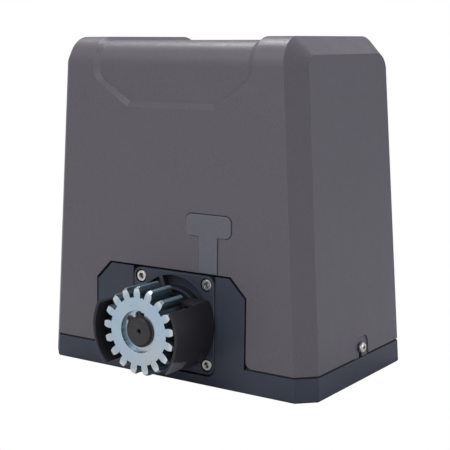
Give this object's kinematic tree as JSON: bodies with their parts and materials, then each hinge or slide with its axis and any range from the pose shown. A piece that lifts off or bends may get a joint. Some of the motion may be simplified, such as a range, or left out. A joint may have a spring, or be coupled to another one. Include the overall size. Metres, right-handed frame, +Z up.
{
  "type": "sliding gate motor",
  "caption": "Sliding gate operator: cast base with gear case, tapered moulded cover, front drive pinion in a curved guard, worm gear motor and control board inside, keyed release at the rear.",
  "frame": {"origin": "middle of the base's underside", "axes": "+Z up; -Y is the pinion side, which faces the gate; +X to the right seen from the pinion side"},
  "size_m": [0.2904, 0.2414, 0.296],
  "materials": {
    "cast_base": "die-cast aluminium, dark blue-grey powder coat, fine orange peel",
    "cover_plastic": "moulded plastic, warm dark grey, fine spark-eroded texture",
    "tee_plastic": "moulded plastic, slightly bluish grey, smoother than the cover",
    "guard_plastic": "black glass-filled plastic, matt",
    "black_rubber": "black rubber",
    "gasket": "grey fibre sheet",
    "stainless": "stainless steel, turned",
    "bright_steel": "ground steel",
    "black_steel": "black oxide on steel, oiled",
    "zinc_steel": "steel with clear blue zinc plating",
    "bronze": "cast and hobbed bronze",
    "raw_aluminium": "raw die-cast and extruded aluminium",
    "lamination_steel": "stacked laminations, varnished",
    "copper_winding": "enamelled copper wire, varnished",
    "white_plastic": "white plastic can",
    "galvanised_sheet": "zinc-coated sheet steel",
    "brass_parts": "turned brass",
    "circuit_board": "green solder mask",
    "relay_plastic": "blue relay cases",
    "terminal_plastic": "green terminal block",
    "button_plastic": "cream button tops"
  },
  "bodies": {
    "housing": {"base_housing": "cast_base", "cover_seal": "black_rubber", "cover_screws": "stainless", "cable_grommet": "black_rubber", "gearbox_end_plate": "cast_base", "end_plate_gasket": "gasket", "end_plate_screws": "stainless", "shaft_oil_seal": "black_rubber", "front_output_bearing": "bright_steel", "rear_output_bearing": "bright_steel", "pinion_guard": "guard_plastic", "guard_screws": "black_steel", "lower_worm_bearing": "bright_steel", "upper_worm_bearing": "bright_steel", "motor_top_bearing": "bright_steel", "motor_lower_cap": "raw_aluminium", "motor_housing": "raw_aluminium", "motor_upper_cap": "raw_aluminium", "stator_core": "lamination_steel", "stator_windings": "copper_winding", "motor_screws": "bright_steel", "run_capacitor": "white_plastic", "capacitor_cup": "guard_plastic", "transformer_core": "lamination_steel", "transformer_coil": "copper_winding", "transformer_foot": "galvanised_sheet", "board_bracket": "galvanised_sheet", "board_standoffs": "brass_parts", "control_board": "circuit_board", "board_screws": "bright_steel", "relays": "relay_plastic", "terminal_block": "terminal_plastic", "switch_bodies": "guard_plastic", "limit_sensor": "guard_plastic"},
    "cover": {"cover": "cover_plastic", "tee_blanking_plate": "tee_plastic"},
    "output": {"output_shaft": "black_steel", "shaft_keys": "bright_steel", "drive_pinion": "zinc_steel", "shaft_circlip": "black_steel", "wheel_spacer": "bright_steel", "worm_wheel": "bronze"},
    "rotor": {"worm_shaft": "bright_steel", "motor_rotor": "lamination_steel"},
    "release": {"release_lever": "cast_base", "release_spindle": "bright_steel"},
    "lock": {"lock_barrel": "zinc_steel"},
    "open_button": {"button_open": "button_plastic"},
    "stop_button": {"button_stop": "button_plastic"},
    "close_button": {"button_close": "button_plastic"}
  },
  "joints": [
    {"name": "cover_lift", "type": "slide", "parent": "housing", "child": "cover", "axis": [0, 0, 1], "range_m": [0, 0.32]},
    {"name": "motor_spin", "type": "hinge", "parent": "housing", "child": "rotor", "pos_m": [-0.04025, -0.015, 0.15], "axis": [0, 0, 1], "continuous": true},
    {"name": "output_spin", "type": "hinge", "parent": "housing", "child": "output", "pos_m": [0.006, 0, 0.0532], "axis": [0, -1, 0], "continuous": true},
    {"name": "release_turn", "type": "hinge", "parent": "housing", "child": "release", "pos_m": [0.006, 0.09, 0.0532], "axis": [0, 1, 0], "range_deg": [0, 90]},
    {"name": "lock_turn", "type": "hinge", "parent": "release", "child": "lock", "pos_m": [0.006, 0.09, 0.0532], "axis": [0, 1, 0], "range_deg": [0, 90]},
    {"name": "open_press", "type": "slide", "parent": "housing", "child": "open_button", "axis": [-1, 0, 0], "range_m": [0, 0.0008], "stiffness_N_per_m": 600, "springref_m": -0.0004},
    {"name": "stop_press", "type": "slide", "parent": "housing", "child": "stop_button", "axis": [-1, 0, 0], "range_m": [0, 0.0008], "stiffness_N_per_m": 600, "springref_m": -0.0004},
    {"name": "close_press", "type": "slide", "parent": "housing", "child": "close_button", "axis": [-1, 0, 0], "range_m": [0, 0.0008], "stiffness_N_per_m": 600, "springref_m": -0.0004}
  ],
  "couplings": [
    {"joint": "output_spin", "follows": "motor_spin", "ratio": 0.033333}
  ]
}
